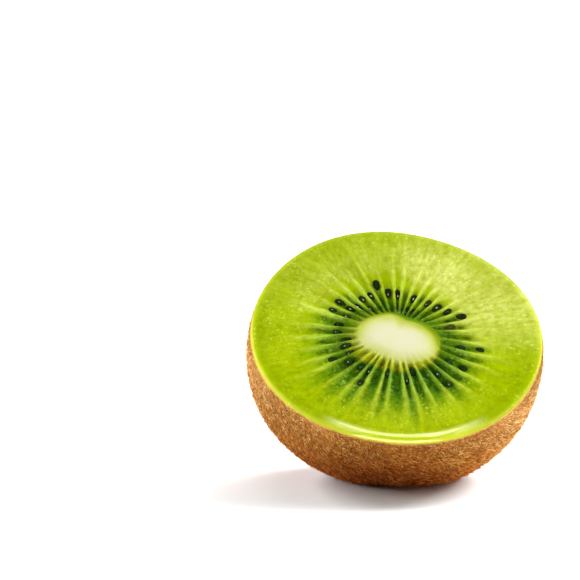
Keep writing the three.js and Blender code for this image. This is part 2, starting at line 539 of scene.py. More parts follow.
# Painted light on the thin low edge, and a painted highlight beside it:
PAINTED_LIT_EDGE = tint(206, 220, 32)
PAINTED_EDGE_HIGHLIGHT = tint(238, 240, 150)
DRIED_EDGE = tint(206, 186, 84)

# A rib's colours from the core outwards, and under the pale painted sheen.
RIB_COLOURS = [
    (0.02, tint(214, 214, 112)),
    (0.12, tint(172, 190, 70)),
    (0.25, tint(152, 186, 76)),
    (0.45, tint(178, 206, 68)),
    (0.75, tint(190, 206, 56)),
]
RIB_COLOURS_LENGTH = 12.0
PALE_SHEEN_RIB = tint(206, 214, 102)


def seed_places(sunk=False):
    """Number, angle and radius of each seed that shows, or of each that lies under the gel."""
    places = []
    for chamber in range(RIB_COUNT):
        for number, row in enumerate(SEED_ROWS):
            pick = chamber + RIB_COUNT * number
            across = SEED_ACROSS + SEED_ACROSS_RANGE * scatter(pick, 39)
            before = rib_angle(chamber)
            angle = before + (rib_angle(chamber + 1) - before) * across
            side = math.cos(angle - math.radians(SEED_FULL_SIDE))
            hidden = scatter(pick, 29) >= row["shown"] + row["fuller"] * side
            if hidden != sunk:
                continue
            stray = SEED_STRAY * (scatter(chamber, 24) - 0.5)
            jitter = SEED_JITTER * (scatter(pick, 13) - 0.5)
            from_core = (row["out"] + stray + jitter) * spread(angle)
            radius = float(oval_radius(CORE, angle) + from_core)
            places.append((pick, angle, radius))
    return places


def near_seeds(places, angle, radius, long, wide):
    """How close each place on the face is to a seed, 1 at its middle."""
    x = radius * np.cos(angle)
    y = radius * np.sin(angle)
    shadow = np.zeros_like(x)
    for _, seed_angle, seed_radius in places:
        c = math.cos(seed_angle)
        s = math.sin(seed_angle)
        out = x * c + y * s - seed_radius
        side = y * c - x * s
        shadow = np.maximum(shadow, np.exp(-((out / long) ** 2) - (side / wide) ** 2))
    return shadow


def ring_reach(angle, from_core):
    """How far the flesh's colours have come, between the borders of the core and the ring."""
    border = {
        name: mean + swing * np.cos(angle - math.radians(at))
        for name, (mean, swing, at) in RING.items()
    }
    core_ends = border["core_ends"]
    for corner in CORE_CORNERS:
        aside = (np.degrees(angle) - corner["at"] + 180.0) % 360.0 - 180.0
        core_ends = core_ends + corner["out"] * np.exp(-((aside / corner["wide"]) ** 2))
    dark_starts = border["dark_starts"]
    dark_ends = np.maximum(border["dark_ends"], LEAST_DARK_END)
    core = REACH_CORE_ENDS + (from_core - core_ends)
    inner = between(from_core, core_ends, dark_starts, REACH_CORE_ENDS, REACH_DARK_STARTS)
    ring = between(from_core, dark_starts, dark_ends, REACH_DARK_STARTS, REACH_DARK_ENDS)
    outer = REACH_DARK_ENDS + border["fading"] * (from_core - dark_ends)
    reach = np.where(from_core < core_ends, core, inner)
    reach = np.where(from_core > dark_starts, ring, reach)
    return np.where(from_core > dark_ends, outer, reach)


def patch_strength(patch, angle):
    turn = np.cos(angle - math.radians(patch["at"]))
    return patch["share"] * smooth(turn, math.cos(math.radians(patch["wide"])), 1.0)


def pale_sheen_share(angle, radius, later):
    """How pale the outer flesh is at each place, from 0 to 1: paler flesh and a painted sheen.
    later puts its start off, in mm.
    """
    share = np.zeros_like(radius)
    for patch in PALE_SHEEN_PATCHES:
        start = patch["start"] + later
        full = patch["full"] + later
        share = share + patch_strength(patch, angle) * smooth(radius, start, full)
    fall = PALE_FALL["share"] * smooth(radius, PALE_FALL["start"], PALE_FALL["full"])
    fall = fall * smooth(angle, math.radians(FALL_FROM), math.radians(FALL_TO))
    return np.minimum(share, 1.0) * (1 - fall)


def rib_lines(rib, near, angle, radius, from_core, reach):
    """The ribs' pale lines, thin at the core and wider under the pale painted sheen."""
    low = lowness(angle)
    in_sheen = sum(patch_strength(patch, angle) for patch in PALE_SHEEN_PATCHES)
    widening = smooth(radius, 6.5, 13.0 + 2.5 * low)
    wider = RIB_WIDER * (0.4 + 1.2 * scatter(rib, 23)) + RIB_IN_SHEEN * in_sheen
    half = RIB_THIN + RIB_VARIES * scatter(rib, 26) + wider * widening
    soft = 0.1 + (0.5 + 0.1 * in_sheen) * widening
    line = 1 - smooth(near, half - soft * 0.4, half + soft)
    length = 11.0 + 2.0 * low + 3.5 * scatter(rib, 25)
    line = line * smooth(from_core, -0.4, 0.8) * (1 - smooth(from_core, length - 8.0, length))
    in_ring = 0.06 + 0.74 * smooth(low, 0.72, 0.97)
    outside_ring = smooth(reach, 3.2, 7.5)
    strength = 0.92 - (0.65 - 0.3 * low) * scatter(rib, 22)
    return line * strength * (in_ring + (1 - in_ring) * outside_ring)


def deep_green(near, low, from_core):
    """Dark green close to the core on the high side, where even the ribs are dark."""
    beside = smooth(from_core, -0.3, 0.5) * (1 - smooth(from_core, 1.4, 4.6))
    on_rib = 1 - smooth(near, 0.05, 0.36)
    return (0.04 + 0.42 * on_rib) * (1 - smooth(low, 0.15, 0.5)) * beside


def pale_teeth(rib, near, low, from_core):
    """Where the core's pale colour runs out along the low side's ribs."""
    on_rib = 1 - smooth(near, 0.05, 0.3)
    size = 0.2 + 0.8 * scatter(rib, 27)
    beside = 1 - smooth(from_core, 0.3, 1.5)
    return on_rib * smooth(low, 0.6, 0.95) * size * beside


def carried_out(number, middle, low, from_core):
    """How far a chamber carries the ring's colours out. It is less than 0 on a rib."""
    shortest = LAG_HIGH[0] + (LAG_LOW[0] - LAG_HIGH[0]) * low
    longest = LAG_HIGH[1] + (LAG_LOW[1] - LAG_HIGH[1]) * low
    lag = (shortest + (longest - shortest) * scatter(number, 24)) * middle
    start = 1.0 + 2.2 * low
    return (lag - RIB_LEAD * (1 - middle)) * smooth(from_core, start, start + 2.3)


def flesh_marks(mesh, angle, radius):
    """Stores what the flesh's material reads: ribs, and how far its colours have come outwards."""
    number, across, near = ribs_at(angle, radius)
    rib = np.where(across < 0.5, number, (number + 1) % RIB_COUNT)
    middle = 1 - (2 * across - 1) ** 2
    from_core = radius - oval_radius(CORE, angle)
    low = lowness(angle)
    even_reach = ring_reach(angle, from_core)
    reach = ring_reach(angle, from_core - carried_out(number, middle, low, from_core))
    later = PALE_UNEVEN * (scatter(number, 28) - 0.5) - PALE_ROUNDED * (1 - middle)
    note(mesh, "reach", reach - TOOTH * pale_teeth(rib, near, low, from_core))
    note(mesh, "from_core", from_core)
    note(mesh, "rib", rib_lines(rib, near, angle, radius, from_core, even_reach))
    note(mesh, "deep", deep_green(near, low, from_core))
    note(mesh, "tone", scatter(number, 21))
    note(mesh, "low", low)
    note(mesh, "pale_sheen", pale_sheen_share(angle, radius, later))
    note(mesh, "seed_shadow", near_seeds(seed_places(), angle, radius, **SEED_SHADOW))
    note(mesh, "sunk_seeds", near_seeds(seed_places(sunk=True), angle, radius, **SUNK_SEED))
    round_face = STREAK_ROUND * np.array([np.cos(angle), np.sin(angle)])
    note_vector(mesh, "streak", np.stack([*round_face, radius * STREAK_OUT], axis=-1))


def face_radius(share, edge):
    """Radius of the face's rows: even steps out to the rounded edge, then a quarter turn."""
    flat = share / FLAT_ROWS * (1 - ROUND_PART)
    turn = np.clip((share - FLAT_ROWS) / (1 - FLAT_ROWS), 0, 1) * math.pi / 2
    rounded = 1 - ROUND_PART * (1 - np.sin(turn))
    return edge * np.where(share < FLAT_ROWS, flat, rounded)


def make_flesh(material):
    mesh, angle, row = ball(FLESH_COLUMNS, FACE_ROWS + INNER_ROWS)
    edge = oval_radius(CUT, angle) - FLESH_GAP
    radius = face_radius(row / FACE_ROWS, edge)
    _, _, near = ribs_at(angle, radius)
    crest = CREST + CREST_WIDENS * radius
    opened = smooth(near, crest, crest + CREST_SLOPE)
    height = face_height(angle, np.minimum(radius, oval_radius(CUT, angle)), opened)
    face = np.stack([radius * np.cos(angle), radius * np.sin(angle), height], axis=-1)
    turn = np.clip((row - FACE_ROWS) / INNER_ROWS, 0, 1)
    inside = skin_point(angle, turn, inset=SKIN_THICKNESS + LINING_GAP)
    on_face = row <= FACE_ROWS
    put(mesh, stand(np.where(on_face[:, None], face, inside)))
    flesh_marks(mesh, angle, radius)
    note(mesh, "from_edge", np.where(on_face, edge - radius, -1.0))
    return piece("flesh", mesh, material)


def flesh_ring(s, reach, low):
    """The flesh's colour from the core outwards, with olive and clear gel on the low side."""
    base = s.ramp(s.span(reach, FIRST_REACH, LAST_REACH, kind="LINEAR"), FLESH_COLOURS)
    olive_part = s.span(low, 0.45, 0.95, 0.0, 0.8)
    olive = s.times(s.span(reach, -1.2, -0.2), s.span(reach, 1.3, 0.5), olive_part)
    base = s.mix(olive, base, OLIVE)
    gel_part = s.span(low, 0.6, 0.97, 0.0, 0.64)
    gel = s.times(s.span(reach, 0.5, 1.6), s.span(reach, 9.5, 5.0), gel_part)
    return s.mix(gel, base, GEL)


def rib_tint(s, from_core, pale_sheen):
    along = s.span(from_core, 0.0, RIB_COLOURS_LENGTH, kind="LINEAR")
    return s.mix(pale_sheen, s.ramp(along, RIB_COLOURS), PALE_SHEEN_RIB)


def gel_marks(s, base, place, reach):
    """Marks in the chambers: the clear gel's lighter smears and darker pits, a painted shadow
    round the seeds, and painted glints on the wet gel.
    """
    in_ring = s.times(s.span(reach, 0.8, 2.2), s.span(reach, 8.5, 4.5))
    cells = s.noise(place, 1300.0, 3.0, 0.6, 0.8)
    base = s.mix(s.times(s.span(cells, 0.52, 0.66), in_ring, 0.55), base, GEL_SMEAR)
    base = s.mix(s.times(s.span(cells, 0.47, 0.34), in_ring, 0.6), base, GEL_PIT)
    broken = s.span(cells, 0.35, 0.6, 1.0, 0.55)
    base = s.mix(s.times(s.stored("deep"), broken), base, DEEP_GREEN)
    # A painted shadow round each seed.
    base = s.mix(s.times(s.stored("seed_shadow"), 0.3), base, SEED_SHADOW_COLOUR)
    blurred = s.span(cells, 0.3, 0.6, 0.85, 0.5)
    base = s.mix(s.times(s.stored("sunk_seeds"), blurred), base, UNDER_GEL)
    # Painted glints: tiny pale dots that stand in for wet highlights.
    glints = s.span(s.dots(place, 1700.0), 0.4, 0.12)
    some = s.span(s.noise(place, 450.0, 2.0), 0.5, 0.64)
    return s.mix(s.times(glints, some, in_ring, 0.5), base, PAINTED_GLINT)


def pale_sheen_amount(s, place, streak, reach):
    """How pale the outer flesh is, as paler flesh with a painted sheen, broken by fibres and
    puffs.
    """
    fibres = s.times(s.noise(streak, 1.3, 3.0, 0.6), 0.6)
    puffs = s.times(s.noise(place, 700.0, 3.0, 0.55), 0.4)
    cloud = s.span(s.math("ADD", fibres, puffs), 0.38, 0.58, 0.74, 1.08)
    pale_sheen = s.times(s.stored("pale_sheen"), cloud)
    return s.math("MULTIPLY", pale_sheen, s.span(reach, 5.0, 9.0), clamp=True)


def mottled(s, base, place, streak, from_core, from_edge, pale_sheen):
    """Mottled cells: soft pale spots, darker gaps and slow changes of tone."""
    grains = s.span(s.noise(place, 2100.0, 2.0, 0.5), 0.55, 0.69)
    clusters = s.span(s.noise(place, 260.0, 2.0), 0.42, 0.62, 0.25, 1.0)
    outer = s.span(from_core, 5.0, 10.0, 0.0, 0.65)
    spot_colour = s.mix(pale_sheen, SPOT, PALE_SPOT)
    base = s.mix(s.times(grains, clusters, outer), base, spot_colour)
    fibre = s.span(s.noise(streak, 2.2, 3.0, 0.6), 0.3, 0.7, 0.88, 1.12, "LINEAR")
    gaps = s.span(s.noise(place, 900.0, 3.0, 0.6), 0.34, 0.56, 0.86, 1.04)
    chamber_shade = s.span(s.stored("tone"), 0.0, 1.0, 0.92, 1.07, "LINEAR")
    clouds = s.span(s.noise(place, 220.0, 3.0), 0.3, 0.7, 0.96, 1.04, "LINEAR")
    factor = s.times(fibre, gaps, s.times(chamber_shade, clouds))
    quiet = s.times(s.span(from_core, -0.5, 1.5), s.span(from_edge, 0.3, 2.2, 0.3, 1.0))
    factor = s.math("ADD", s.times(s.math("SUBTRACT", factor, 1.0), quiet), 1.0)
    blue = s.math("POWER", factor, 2.5)
    shade = s.node("ShaderNodeCombineColor", Red=factor, Green=factor, Blue=blue)
    return s.mix(1.0, base, shade.outputs[0], "MULTIPLY")


def flesh_edge(s, base, from_edge, low):
    """The rounded edge, dried at the rim. On the low side, where it is thin, the light through it
    and on it is painted in as a lighter colour: painted light.
    """
    # Painted light on the thin low edge.
    painted_lit = s.times(s.span(from_edge, 1.9, 0.8), s.span(low, 0.9, 0.985, 0.0, 0.54))
    base = s.mix(painted_lit, base, PAINTED_LIT_EDGE)
    # A painted highlight: broad soft light on it, left and right of the middle.
    aside = s.times(s.span(low, 0.885, 0.94), s.span(low, 0.99, 0.95))
    band = s.times(s.span(from_edge, 1.7, 1.0), s.span(from_edge, 0.1, 0.6))
    base = s.mix(s.times(aside, band, 0.44), base, PAINTED_EDGE_HIGHLIGHT)
    dried = s.times(s.span(from_edge, 0.5, 0.05), s.span(low, 0.9, 0.5, 0.25, 0.7))
    return s.mix(dried, base, DRIED_EDGE)


def cut_cells(s, place, streak, from_core, from_edge, wetness):
    """The cut cells' fine relief, little of it on the core and none on the rounded edge."""
    cells = s.times(s.noise(place, 1100.0, 2.0, 0.6), 1.4)
    grain = s.math("ADD", cells, s.math("ADD", wetness, s.noise(streak, 2.0, 1.0)))
    part = s.times(s.span(from_edge, 0.8, 2.6), s.span(from_core, -1.0, 1.5, 0.25, 1.0))
    return s.bump(s.times(grain, part), 0.0001, 0.4)


def flesh_material():
    s = Shader("wet green flesh")
    from_core = s.stored("from_core")
    from_edge = s.stored("from_edge")
    low = s.stored("low")
    streak = s.stored("streak", "Vector")
    place = s.place()
    wander = s.times(s.math("SUBTRACT", s.noise(streak, 1.6, 2.0), 0.5), 2.0)
    outside_core = s.span(from_core, -0.5, 3.0, 0.15, 1.0)
    reach = s.math("ADD", s.stored("reach"), s.times(wander, outside_core))
    base = gel_marks(s, flesh_ring(s, reach, low), place, reach)
    # Paler outer flesh with a painted sheen over it.
    pale_sheen = pale_sheen_amount(s, place, streak, reach)
    base = s.mix(pale_sheen, base, s.ramp(pale_sheen, PALE_SHEEN_COLOURS))
    uneven = s.span(s.noise(place, 600.0, 2.0), 0.35, 0.6, 0.65, 0.95)
    base = s.mix(s.times(s.stored("rib"), uneven), base, rib_tint(s, from_core, pale_sheen))
    base = mottled(s, base, place, streak, from_core, from_edge, pale_sheen)
    wetness = s.noise(place, 800.0, 1.0)
    s.set(
        Base_Color=flesh_edge(s, base, from_edge, low),
        Roughness=s.span(wetness, 0.3, 0.7, 0.14, 0.26, "LINEAR"),
        Subsurface_Weight=0.35,
        Subsurface_Radius=(1.0, 1.0, 0.3),
        Subsurface_Scale=0.0004,
        IOR=1.38,
        Specular_IOR_Level=0.1,
        Coat_Weight=s.span(from_edge, 2.8, 1.2),
        Coat_Roughness=0.08,
        Coat_IOR=1.4,
        Normal=cut_cells(s, place, streak, from_core, from_edge, wetness),
    )
    return s.material


# ---- Seeds ----

SEED_COLUMNS = 14
SEED_RINGS = 10
SEED_COLOURS = [
    (0.0, tint(12, 22, 5)),
    (0.84, tint(22, 24, 8)),
    (0.93, tint(32, 24, 8)),
    (0.96, tint(84, 32, 12)),
]
GEL_ON_SEED = tint(36, 70, 10)


def seed_mesh(pick, angle, radius):
    """A seed on its chamber's floor, narrower towards the core."""
    mesh, _, _ = ball(SEED_COLUMNS, SEED_RINGS)
    x, y, along = points_of(mesh).T
    taper = 1 + SEED_TAPER * along
    size = SEED_SMALLEST + SEED_SIZE_RANGE * scatter(pick, 4)
    body = np.stack([along, y * taper, x * taper], axis=-1) * np.array(SEED_SIZE) / 2 * size
    pitch = math.radians(SEED_PITCH * (scatter(pick, 5) - 0.5))
    yaw = angle + math.radians(SEED_YAW * (scatter(pick, 6) - 0.5))
    turn = np.array(Matrix.Rotation(yaw, 3, "Z") @ Matrix.Rotation(pitch, 3, "Y"))
    sink = SEED_SINK * (scatter(pick, 7) - 0.5)
    height = float(face_height(angle, radius, 1.0)) - sink
    centre = np.array([radius * math.cos(angle), radius * math.sin(angle), height])
    put(mesh, stand(body @ turn.T + centre))
    covered = 0.8 * lowness(angle) + 0.25 + 0.5 * (scatter(pick, 32) - 0.5)
    note(mesh, "tone", np.full(len(body), scatter(pick, 31)))
    note(mesh, "covered", np.full(len(body), min(max(covered, 0.0), 1.0)))
    note(mesh, "dull", np.full(len(body), scatter(pick, 33)))
    return mesh


def make_seeds(material):
    parts = [seed_mesh(*seed) for seed in seed_places()]
    bm = bmesh.new()
    for mesh in parts:
        bm.from_mesh(mesh)
        bpy.data.meshes.remove(mesh)
    bmesh.ops.recalc_face_normals(bm, faces=bm.faces)
    joined = bpy.data.meshes.new("seeds")
    bm.to_mesh(joined)
    bm.free()
    joined.shade_smooth()
    return piece("seeds", joined, material)


def seed_material():
    s = Shader("glossy black seed")
    place = s.place()
    smeared = s.span(s.noise(place, 1100.0, 2.0), 0.35, 0.65, 0.3, 1.0)
    gel = s.times(s.stored("covered"), smeared)
    blotches = s.span(s.noise(place, 1200.0), 0.3, 0.7, -0.15, 0.15)
    dull = s.math("ADD", s.stored("dull"), blotches)
    bare = s.span(gel, 0.75, 0.3, 0.15, 1.0)
    pits = s.math("ADD", s.dots(place, 6000.0), s.noise(place, 1800.0))
    s.set(
        Base_Color=s.mix(gel, s.ramp(s.stored("tone"), SEED_COLOURS), GEL_ON_SEED),
        Roughness=0.45,
        Specular_IOR_Level=0.1,
        Coat_Weight=s.times(s.span(dull, 0.75, 0.4), bare),
        Coat_Roughness=0.07,
        Coat_IOR=1.7,
        Normal=s.bump(pits, 0.00006, 0.5),
    )
    return s.material


# ---- Skin ----

# Painted shade: what skin colours are multiplied by, from the floor up to SHADE_TOP, in metres,
# darker and redder low down where the skin stands in shade. To the right the colours of higher
# skin come down by SHADE_LEAN of the way out, a painted light from that side. The last stop
# makes the highest skin a darker brown.
SHADE_TOP = 0.030
SHADE_LEAN = 0.2
SHADES = [
    (0.06, (0.70, 0.34, 0.16, 1.0)),
    (0.17, (0.78, 0.48, 0.24, 1.0)),
    (0.27, (0.88, 0.68, 0.41, 1.0)),
    (0.37, (0.93, 0.82, 0.63, 1.0)),
    (0.47, (0.98, 0.94, 0.83, 1.0)),
    (0.62, (1.0, 1.0, 1.0, 1.0)),
    (0.85, (0.74, 0.70, 0.62, 1.0)),
]
SKIN_COLOURS = [
    (0.34, tint(100, 60, 24)),
    (0.50, tint(144, 94, 44)),
    (0.66, tint(190, 140, 78)),
]
CUT_RIM = tint(222, 184, 98)
SKIN_COLUMNS = 300
SKIN_ROWS = 110
LINING_ROWS = 12


def make_skin(material):
    mesh, angle, row = ball(SKIN_COLUMNS, LINING_ROWS + SKIN_ROWS)
    turn_in = np.clip((LINING_ROWS - row) / LINING_ROWS, 0, 1)
    turn_out = np.clip((row - LINING_ROWS - 1) / (SKIN_ROWS - 1), 0, 1)
    lining = skin_point(angle, turn_in, inset=SKIN_THICKNESS)
    outside = skin_point(angle, turn_out)
    points = np.where((row <= LINING_ROWS)[:, None], lining, outside)
    put(mesh, stand(points))
    note(mesh, "rim", np.where(row <= LINING_ROWS + 1, 1.0, 0.0))
    return piece("skin", mesh, material)


def patchy_tone():
    """Patchy tone for dry brown surfaces: broad patches with finer ones on them."""
    inputs = ("Broad scale", "Fine scale", "Fine share")
    effect = Effect("patchy tone", "NodeSocketFloat", inputs, "Tone")
    place = effect.place()
    broad = effect.noise(place, effect.given["Broad scale"], rough=0.5)
    fine = effect.noise(place, effect.given["Fine scale"], rough=0.5)
    share = effect.given["Fine share"]
    tone = effect.node("ShaderNodeMix", Factor=share, A=broad, B=fine).outputs["Result"]
    effect.join(effect.result, tone)
    return effect.tree


def painted_foot_shade():
    """Painted shade: a brown colour made darker and redder towards the foot, lighter to the right.
    """
    effect = Effect("darker towards the foot", "NodeSocketColor", ["Colour"], "Colour")
    place = effect.node("ShaderNodeSeparateXYZ", Vector=effect.place()).outputs
    right = effect.math("MAXIMUM", place["X"], 0.0)
    height = effect.math("MULTIPLY_ADD", right, SHADE_LEAN, place["Z"])
    shade = effect.ramp(effect.math("DIVIDE", height, SHADE_TOP), SHADES)
    effect.join(effect.result, effect.mix(1.0, effect.given["Colour"], shade, "MULTIPLY"))
    return effect.tree


PATCHY_TONE = patchy_tone()
PAINTED_FOOT_SHADE = painted_foot_shade()


def skin_material():
    s = Shader("brown fruit skin")
    tone = s.effect(PATCHY_TONE, Broad_scale=180.0, Fine_scale=1400.0, Fine_share=0.55)
    rim = s.times(s.stored("rim"), s.span(tone, 0.4, 0.6, 0.6, 1.0))
    # Painted shade towards the foot and painted light to the right.
    s.set(
        Base_Color=s.effect(PAINTED_FOOT_SHADE, Colour=s.mix(rim, s.ramp(tone, SKIN_COLOURS), CUT_RIM)),
        Roughness=0.75,
        Specular_IOR_Level=0.05,
        Normal=s.bump(tone, 0.0003, 0.8),
    )
    return s.material


# ---- Hairs ----

# Each kind's number of hairs, the start of its draws, a hair's rings below its tip, and the
# ranges of length, thickness and lean from upright.
FINE_HAIRS = {
    "count": 62000,
    "draws": 7,
    "rings": 1,
    "length": (0.4, 0.75),
    "thickness": (0.07, 0.11),
    "lean": (40, 80),
}
LONG_HAIRS = {
    "count": 21500,
    "draws": 8,
    "rings": 2,
    "length": (0.7, 1.2),
    "thickness": (0.14, 0.2),
    "lean": (50, 84),
}
HAIR_SIDES = 3
HAIR_SUNK = 0.04
HAIR_CURL = 0.5
HAIR_TAPER = 0.4
SWIRL_STRAY = 0.65

# Hairs grow between these turns of the skin, which is measured on an even grid.
FIRST_TURN = 0.004
LAST_TURN = 0.992
GRID_TURNS = 260
GRID_ANGLES = 96

# Places go round by a step that never comes back to the same place, and stray a little.
ROUND_STEP = 0.7548776662
ROUND_STRAY = 0.35

# Directions on the skin are taken over a small step, which stays short of the blossom end. Hairs
# grow only above the floor, by this many metres.
SMALL_STEP = 0.002
STEP_ENDS = 0.9999
ABOVE_FLOOR = 0.00002

HAIR_COLOURS = [
    (0.22, tint(164, 100, 40)),
    (0.42, tint(208, 146, 74)),
    (0.60, tint(238, 190, 118)),
    (0.76, tint(255, 230, 172)),
]
HAIR_ROOT = tint(120, 58, 14)


def unit(vectors):
    return vectors / np.linalg.norm(vectors, axis=1)[:, None]


def even_turns(order):
    """Turns of the skin such that equal steps of order, from 0 to 1, cover equal areas."""
    turns = np.linspace(FIRST_TURN, LAST_TURN, GRID_TURNS)
    angles = np.linspace(0, 2 * math.pi, GRID_ANGLES + 1)[:-1]
    grid = skin_point(angles[None, :], turns[:, None] + 0 * angles[None, :])
    lengths = np.linalg.norm(np.diff(grid, axis=0), axis=2).mean(axis=1)
    girths = np.linalg.norm(np.roll(grid, -1, axis=1) - grid, axis=2).sum(axis=1)
    areas = lengths * (girths[:-1] + girths[1:]) / 2
    total = np.concatenate([[0.0], np.cumsum(areas)])
    return np.interp(order * total[-1], total, turns)


def skin_sites(count, draw):
    """Even places on the skin: root points, outward normals, ways down and round, and turns."""
    turn = even_turns((np.arange(count) + draw.rand(count)) / count)
    steps = np.arange(count) * ROUND_STEP + ROUND_STRAY * draw.rand(count)
    angle = 2 * math.pi * (steps % 1)
    root = skin_point(angle, turn)
    side = unit(skin_point(angle + SMALL_STEP, turn) - root)
    down = unit(skin_point(angle, np.minimum(turn + SMALL_STEP, STEP_ENDS)) - root)
    normal = unit(np.cross(down, side))
    outwards = np.sum(normal * root, axis=1)
    normal *= np.where(outwards < 0, -1.0, 1.0)[:, None]
    keep = stand(root)[:, 2] > ABOVE_FLOOR
    return root[keep], normal[keep], down[keep], side[keep], turn[keep]


def hair_faces(rings):
    """Corners of one hair's triangles: HAIR_SIDES points a ring, then the tip."""
    faces = []
    for ring in range(rings - 1):
        for k in range(HAIR_SIDES):
            a = ring * HAIR_SIDES + k
            b = ring * HAIR_SIDES + (k + 1) % HAIR_SIDES
            faces.append((a, b, b + HAIR_SIDES))
            faces.append((a, b + HAIR_SIDES, a + HAIR_SIDES))
    last = (rings - 1) * HAIR_SIDES
    for k in range(HAIR_SIDES):
        faces.append((last + k, last + (k + 1) % HAIR_SIDES, rings * HAIR_SIDES))
    return np.array(faces)


def hair_mesh(name, rings, tips, tones):
    """Tapered hairs as one mesh, from each one's rings of points and its tip."""
    count, levels = rings.shape[:2]
    each = levels * HAIR_SIDES + 1
    verts = np.concatenate([rings.reshape(count, -1, 3), tips[:, None, :]], axis=1)
    starts = (np.arange(count) * each)[:, None, None]
    corners = (hair_faces(levels)[None] + starts).reshape(-1)
    mesh = bpy.data.meshes.new(name)
    mesh.vertices.add(count * each)
    mesh.loops.add(len(corners))
    mesh.polygons.add(len(corners) // 3)
    mesh.loops.foreach_set("vertex_index", corners.astype(np.int32))
    mesh.polygons.foreach_set("loop_start", np.arange(0, len(corners), 3, dtype=np.int32))
    mesh.vertices.foreach_set("co", verts.astype(np.float32).ravel())
    mesh.update(calc_edges=True)
    mesh.shade_smooth()
    along = np.concatenate([np.repeat(np.arange(levels) / levels, HAIR_SIDES), [1.0]])
    note(mesh, "along", np.tile(along, count))
    note(mesh, "tone", np.repeat(tones, each))
    return mesh


def swirl_at(root):
    """The way the hairs lie at each root: radians from straight down, in drifting swirls."""
    x, y, z = root.T
    return (
        math.pi / 2
        + 0.55 * np.sin(x * 0.55 + 1.3 * np.sin(y * 0.4))
        + 0.5 * np.cos(z * 0.7 + x * 0.3)
        + 0.5 * np.sin(x * 1.9 - z * 1.6 + 2.0 * np.sin(y * 1.3))
    )


def hair_rings(foot, start, curl, side, long, wide, levels):
    """Rings of points along each hair, which bends from its start towards its curl."""
    first = unit(np.cross(start, side))
    second = np.cross(start, first)
    rings = []
    for level in range(levels):
        s = level / levels
        centre = foot + (start * s + curl * HAIR_CURL * s * s) * long[:, None]
        thick = wide * (1 - HAIR_TAPER * s)
        ring = []
        for k in range(HAIR_SIDES):
            a = 2 * math.pi * k / HAIR_SIDES
            ring.append(centre + (first * math.cos(a) + second * math.sin(a)) * thick[:, None])
        rings.append(np.stack(ring, axis=1))
    return np.stack(rings, axis=1)


def make_hairs(name, material, kind):
    draw = np.random.RandomState(kind["draws"])
    root, normal, down, side, turn = skin_sites(kind["count"], draw)
    n = len(root)
    swirl = swirl_at(root) + draw.normal(0.0, SWIRL_STRAY, n)
    lean = np.radians(draw.uniform(*kind["lean"], n))
    flat = down * np.cos(swirl)[:, None] + side * np.sin(swirl)[:, None]
    cross = side * np.cos(swirl)[:, None] - down * np.sin(swirl)[:, None]
    start = normal * np.cos(lean)[:, None] + flat * np.sin(lean)[:, None]
    aside = draw.uniform(-1.0, 1.0, n)
    droop = draw.uniform(0.0, 0.6, n)
    curl = cross * aside[:, None] - normal * droop[:, None]
    long = draw.uniform(*kind["length"], n) * (0.45 + 0.55 * smooth(turn, 0.0, 0.1))
    wide = draw.uniform(*kind["thickness"], n) / 2
    foot = root - normal * HAIR_SUNK
    rings = hair_rings(foot, start, curl, side, long, wide, kind["rings"])
    tips = root + (start + curl * HAIR_CURL) * long[:, None]
    standing = stand(rings.reshape(-1, 3)).reshape(rings.shape)
    mesh = hair_mesh(name, standing, stand(tips), draw.rand(n))
    return piece(name, mesh, material)


def hair_material():
    s = Shader("golden brown hair")
    patches = s.effect(PATCHY_TONE, Broad_scale=260.0, Fine_scale=900.0, Fine_share=0.5)
    tone = s.math("ADD", s.times(s.stored("tone"), 0.55), s.times(patches, 0.45))
    root = s.span(s.stored("along"), 0.0, 0.5, 0.4, 0.0)
    base = s.mix(root, s.ramp(tone, HAIR_COLOURS), HAIR_ROOT)
    # Painted shade towards the foot and painted light to the right, as on the skin.
    s.set(
        Base_Color=s.effect(PAINTED_FOOT_SHADE, Colour=base),
        Roughness=0.6,
        Specular_IOR_Level=0.05,
    )
    return s.material


# ---- Blossom end ----

STUB_SIZE = (1.5, 1.3, 0.9)
STUB_LUMPS = 0.22
STUB_OUT = 0.3

# Thin withered parts of the flower: each one's distance from the middle and its length have a
# least value and a range, and it droops by up to WITHERED_DROOP from straight out.
WITHERED_COUNT = 34
WITHERED_PLACE = (1.0, 2.2)
WITHERED_LENGTH = (1.0, 1.4)
WITHERED_DROOP = 70
WITHERED_OUT = 0.6
WITHERED_ROOT = 0.16
WITHERED_TIP = 0.05

# The golden angle in radians, which spreads them evenly, and how far they turn off it.
GOLDEN_ANGLE = 2.39996
WITHERED_TURN = 2.0


def add_stub(bm):
    stub = bmesh.ops.create_icosphere(bm, subdivisions=3, radius=1.0)["verts"]
    for v in stub:
        x, y, z = v.co
        lump = 1 + STUB_LUMPS * math.sin(5.3 * x + 2) * math.sin(4.7 * y) * math.cos(6 * z)
        v.co = Vector(part * size for part, size in zip((x, y, z), STUB_SIZE)) * lump
    bmesh.ops.translate(bm, verts=stub, vec=(0, 0, -DEPTH - STUB_OUT))


def add_withered(bm, k):
    """One withered part, thicker at its root."""
    angle = k * GOLDEN_ANGLE
    radius = WITHERED_PLACE[0] + WITHERED_PLACE[1] * scatter(k, 41)
    made = bmesh.ops.create_cone(
        bm,
        segments=5,
        radius1=WITHERED_ROOT,
        radius2=WITHERED_TIP,
        depth=WITHERED_LENGTH[0] + WITHERED_LENGTH[1] * scatter(k, 42),
        cap_ends=True,
    )["verts"]
    lean = turned("Y", 180 - WITHERED_DROOP * scatter(k, 43))
    spin = Matrix.Rotation(angle + WITHERED_TURN * scatter(k, 44), 4, "Z")
    centre = (radius * math.cos(angle), radius * math.sin(angle), -DEPTH - WITHERED_OUT)
    bmesh.ops.transform(bm, verts=made, matrix=Matrix.Translation(centre) @ spin @ lean)


